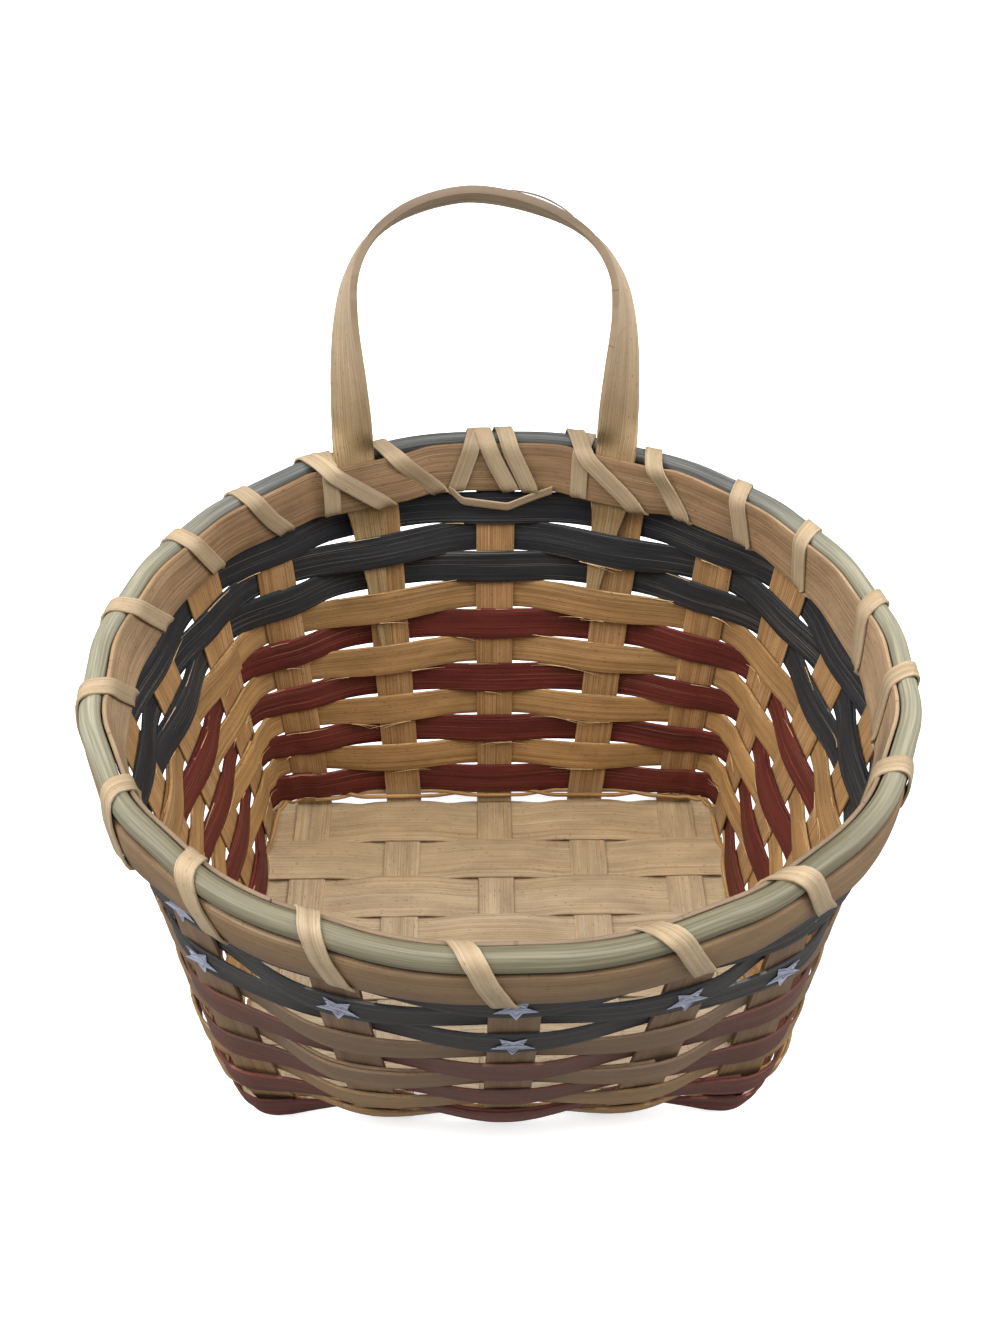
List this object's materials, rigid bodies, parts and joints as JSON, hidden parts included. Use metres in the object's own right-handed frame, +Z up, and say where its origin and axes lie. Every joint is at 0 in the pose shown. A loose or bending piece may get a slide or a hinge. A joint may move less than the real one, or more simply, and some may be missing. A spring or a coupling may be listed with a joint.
{
  "type": "wall pocket basket",
  "caption": "Hand-woven flat reed basket with dyed rows, a rectangular filled base, a lashed oval rim and a twisted hoop handle at the back for hanging it on a wall hook.",
  "frame": {"origin": "centre of the plan, on the surface that the base stands on", "axes": "+Z up, -Y to the front, +Y to the wall behind the handle, +X to the right seen from the front"},
  "size_m": [0.228, 0.2137, 0.2358],
  "materials": {
    "natural": "matt undyed flat reed",
    "base": "matt undyed flat reed, paler",
    "maroon": "flat reed dyed maroon",
    "blue": "flat reed dyed navy, with painted stars",
    "sage": "round rim filler, sage grey",
    "cane": "pale lashing cane, satin",
    "handle": "thick flat reed, matt"
  },
  "bodies": {
    "root": {"stake_1": "natural", "stake_2": "natural", "stake_3": "natural", "stake_4": "natural", "stake_5": "natural", "side_stake_1": "base", "side_stake_2": "base", "side_stake_3": "base", "side_stake_4": "base", "base_filler_1": "base", "base_filler_2": "base", "base_filler_3": "base", "twining_strand_1": "natural", "twining_strand_2": "natural", "maroon_row_1": "maroon", "maroon_row_2": "maroon", "maroon_row_3": "maroon", "maroon_row_4": "maroon", "natural_row_1": "natural", "natural_row_2": "natural", "natural_row_3": "natural", "natural_row_4": "natural", "blue_row_1": "blue", "blue_row_2": "blue", "blue_row_3": "blue", "rim_row": "natural", "inner_rim": "natural", "outer_rim": "natural", "rim_filler": "sage", "lashing": "cane", "handle": "handle"}
  },
  "joints": []
}
